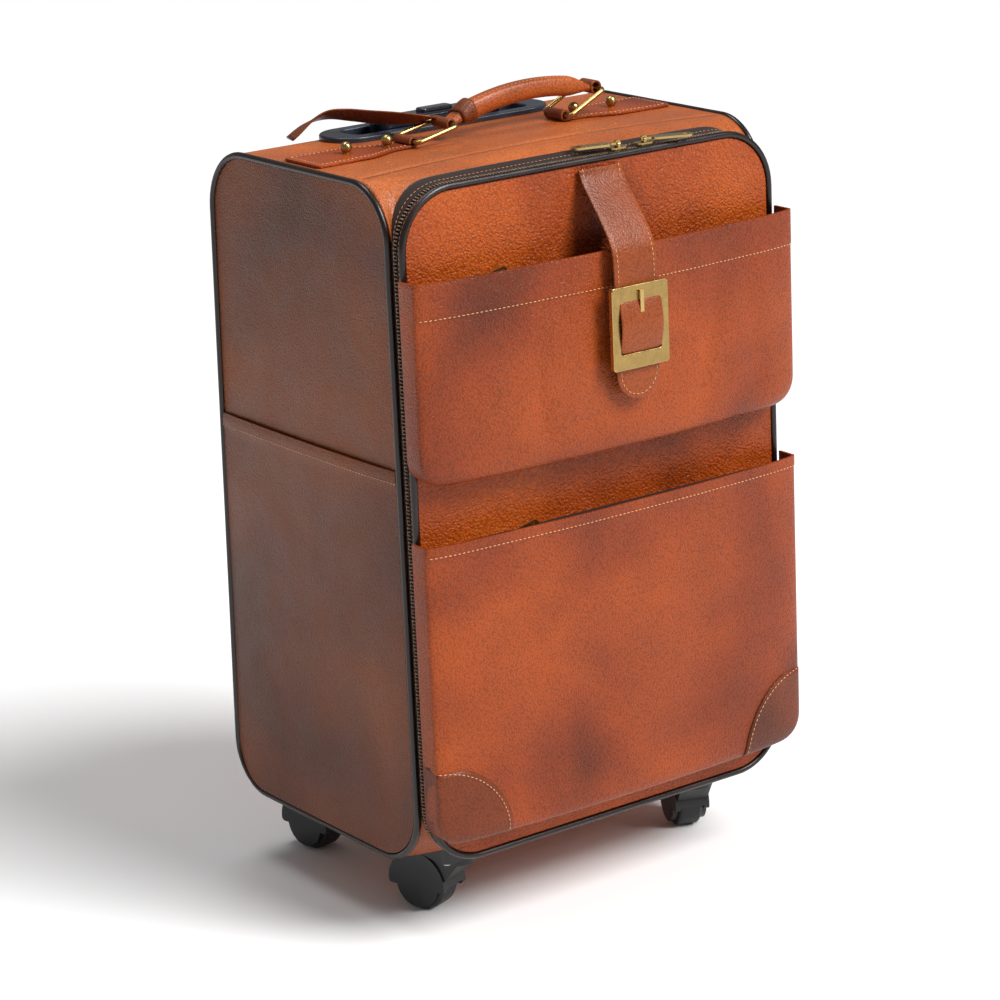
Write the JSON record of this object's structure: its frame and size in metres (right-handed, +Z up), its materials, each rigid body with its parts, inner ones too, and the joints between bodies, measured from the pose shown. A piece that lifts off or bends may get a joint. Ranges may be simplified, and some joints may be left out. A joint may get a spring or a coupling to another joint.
{
  "type": "rolling cabin case",
  "caption": "Soft-sided leather rolling case with a front lid on a bottom hinge, two open pockets, buckled strap, ring handle, telescopic trolley and swivel casters",
  "frame": {"origin": "on the floor, under the middle of the overall box, all four wheels standing at z = 0", "axes": "+Z up, +X to the right seen from the front, +Y to the back (the trolley side)"},
  "size_m": [0.3342, 0.3034, 0.5881],
  "materials": {
    "leather": "pebbled tan leather, satin",
    "side_leather": "smoother darker tan leather, satin",
    "pocket_leather": "fine-grained tan leather, satin",
    "trim_leather": "tan leather with stitched edges",
    "piping": "dark brown glossy piping",
    "board": "matte stiffening board",
    "lining": "woven textile",
    "zip_tape": "dark brown woven tape with coil",
    "brass": "antique brass",
    "black_plastic": "black moulded plastic, satin",
    "grip_plastic": "glossy navy black plastic",
    "tube_metal": "anodised aluminium tube",
    "wheel_rubber": "black rubber tread on a plastic hub",
    "screw_steel": "plated steel"
  },
  "bodies": {
    "root": {"case_shell": "board", "leather_wrap": "leather", "lining": "lining", "inner_back_panel": "board", "side_panel_left": "side_leather", "side_panel_right": "side_leather", "side_piping_left": "piping", "side_piping_right": "piping", "side_pocket_left": "side_leather", "side_pocket_right": "side_leather", "rear_guards": "trim_leather", "rear_feet": "black_plastic", "trolley_bezel": "black_plastic", "outer_tubes": "tube_metal", "tube_foot": "black_plastic", "zip_half_body": "zip_tape", "hinge_strip": "trim_leather", "handle_anchor_left": "trim_leather", "handle_anchor_right": "trim_leather", "anchor_studs": "brass", "caster_bases": "black_plastic", "caster_screws": "screw_steel"},
    "lid": {"lid_board": "board", "lid_panel": "leather", "lid_piping": "piping", "lid_lining": "lining", "upper_pocket": "pocket_leather", "lower_pocket": "pocket_leather", "corner_patches": "pocket_leather", "zip_half_lid": "zip_tape", "pocket_zip_tapes": "zip_tape", "snap_socket": "brass"},
    "strap": {"closing_strap": "pocket_leather", "buckle_frame": "brass", "snap_stud": "brass"},
    "prong": {"buckle_prong": "brass"},
    "left_slider": {"slider_left": "brass"},
    "left_puller": {"puller_left": "brass"},
    "right_slider": {"slider_right": "brass"},
    "right_puller": {"puller_right": "brass"},
    "upper_slider": {"pocket_slider_upper": "brass"},
    "upper_puller": {"pocket_puller_upper": "brass"},
    "lower_slider": {"pocket_slider_lower": "brass"},
    "lower_puller": {"pocket_puller_lower": "brass"},
    "left_ring": {"ring_left": "brass"},
    "right_ring": {"ring_right": "brass"},
    "handle": {"carry_handle": "trim_leather"},
    "tag": {"tag_strap": "trim_leather"},
    "middle_stage": {"middle_tubes": "tube_metal"},
    "top_stage": {"inner_tubes": "tube_metal", "grip": "grip_plastic"},
    "button": {"grip_button": "grip_plastic"},
    "fork_front_left": {"caster_fork_front_left": "black_plastic"},
    "wheel_front_left": {"caster_wheel_front_left": "wheel_rubber"},
    "fork_front_right": {"caster_fork_front_right": "black_plastic"},
    "wheel_front_right": {"caster_wheel_front_right": "wheel_rubber"},
    "fork_rear_left": {"caster_fork_rear_left": "black_plastic"},
    "wheel_rear_left": {"caster_wheel_rear_left": "wheel_rubber"},
    "fork_rear_right": {"caster_fork_rear_right": "black_plastic"},
    "wheel_rear_right": {"caster_wheel_rear_right": "wheel_rubber"}
  },
  "joints": [
    {"name": "lid_hinge", "type": "hinge", "parent": "root", "child": "lid", "pos_m": [0, -0.09808, 0.06], "axis": [1, 0, 0], "range_deg": [0, 90]},
    {"name": "strap_hinge", "type": "hinge", "parent": "lid", "child": "strap", "pos_m": [0.006, -0.10818, 0.544], "axis": [-1, 0, 0], "range_deg": [0, 150]},
    {"name": "prong_hinge", "type": "hinge", "parent": "strap", "child": "prong", "pos_m": [0.006, -0.15128, 0.464], "axis": [-1, 0, 0], "range_deg": [0, 60]},
    {"name": "left_slider_slide", "type": "slide", "parent": "root", "child": "left_slider", "axis": [-1, 0, 0], "range_m": [0, 0.135]},
    {"name": "right_slider_slide", "type": "slide", "parent": "root", "child": "right_slider", "axis": [1, 0, 0], "range_m": [0, 0.058]},
    {"name": "left_puller_hinge", "type": "hinge", "parent": "left_slider", "child": "left_puller", "pos_m": [0.03, -0.09808, 0.557], "axis": [0.2079, 0.9781, 0], "range_deg": [0, 160]},
    {"name": "right_puller_hinge", "type": "hinge", "parent": "right_slider", "child": "right_puller", "pos_m": [0.054, -0.09808, 0.557], "axis": [-0.3746, -0.9272, 0], "range_deg": [0, 160]},
    {"name": "upper_slider_slide", "type": "slide", "parent": "lid", "child": "upper_slider", "axis": [1, 0, 0], "range_m": [0, 0.24]},
    {"name": "upper_puller_hinge", "type": "hinge", "parent": "upper_slider", "child": "upper_puller", "pos_m": [-0.114, -0.11248, 0.479], "axis": [0.225, 0, -0.9744], "range_deg": [0, 14]},
    {"name": "lower_slider_slide", "type": "slide", "parent": "lid", "child": "lower_slider", "axis": [1, 0, 0], "range_m": [0, 0.22]},
    {"name": "lower_puller_hinge", "type": "hinge", "parent": "lower_slider", "child": "lower_puller", "pos_m": [-0.096, -0.11248, 0.293], "axis": [0.225, 0, -0.9744], "range_deg": [0, 14]},
    {"name": "left_ring_hinge", "type": "hinge", "parent": "root", "child": "left_ring", "pos_m": [-0.068, 0.02192, 0.558], "axis": [0, -1, 0], "range_deg": [0, 75.9]},
    {"name": "right_ring_hinge", "type": "hinge", "parent": "root", "child": "right_ring", "pos_m": [0.068, 0.02192, 0.558], "axis": [0, -1, 0], "range_deg": [0, 66.1]},
    {"name": "handle_hinge", "type": "hinge", "parent": "left_ring", "child": "handle", "pos_m": [-0.03279, 0.02192, 0.56548], "axis": [0, -1, 0], "range_deg": [-80.2, 0]},
    {"name": "tag_hinge", "type": "hinge", "parent": "left_ring", "child": "tag", "pos_m": [-0.03279, 0.02192, 0.56548], "axis": [0, -1, 0], "range_deg": [-75.9, 0]},
    {"name": "middle_stage_slide", "type": "slide", "parent": "root", "child": "middle_stage", "axis": [0, 0, 1], "range_m": [0, 0.205]},
    {"name": "top_stage_slide", "type": "slide", "parent": "middle_stage", "child": "top_stage", "axis": [0, 0, 1], "range_m": [0, 0.205]},
    {"name": "button_slide", "type": "slide", "parent": "top_stage", "child": "button", "axis": [0, 0, -1], "range_m": [0, 0.004], "stiffness_N_per_m": 300},
    {"name": "swivel_front_left", "type": "hinge", "parent": "root", "child": "fork_front_left", "pos_m": [-0.112, -0.06108, 0.053], "axis": [0, 0, 1], "continuous": true},
    {"name": "roll_front_left", "type": "hinge", "parent": "fork_front_left", "child": "wheel_front_left", "pos_m": [-0.12065, -0.03445, 0.0215], "axis": [-0.9511, -0.309, 0], "continuous": true},
    {"name": "swivel_front_right", "type": "hinge", "parent": "root", "child": "fork_front_right", "pos_m": [0.112, -0.06108, 0.053], "axis": [0, 0, 1], "continuous": true},
    {"name": "roll_front_right", "type": "hinge", "parent": "fork_front_right", "child": "wheel_front_right", "pos_m": [0.12249, -0.03512, 0.0215], "axis": [-0.9272, 0.3746, 0], "continuous": true},
    {"name": "swivel_rear_left", "type": "hinge", "parent": "root", "child": "fork_rear_left", "pos_m": [-0.112, 0.09192, 0.053], "axis": [0, 0, 1], "continuous": true},
    {"name": "roll_rear_left", "type": "hinge", "parent": "fork_rear_left", "child": "wheel_rear_left", "pos_m": [-0.11638, 0.11958, 0.0215], "axis": [-0.9877, -0.1564, 0], "continuous": true},
    {"name": "swivel_rear_right", "type": "hinge", "parent": "root", "child": "fork_rear_right", "pos_m": [0.112, 0.09192, 0.053], "axis": [0, 0, 1], "continuous": true},
    {"name": "roll_rear_right", "type": "hinge", "parent": "fork_rear_right", "child": "wheel_rear_right", "pos_m": [0.11493, 0.11977, 0.0215], "axis": [-0.9945, 0.1045, 0], "continuous": true}
  ],
  "couplings": [
    {"joint": "right_ring_hinge", "follows": "left_ring_hinge", "ratio": 0.87},
    {"joint": "handle_hinge", "follows": "left_ring_hinge", "ratio": -1.0564},
    {"joint": "tag_hinge", "follows": "left_ring_hinge", "ratio": -1}
  ]
}
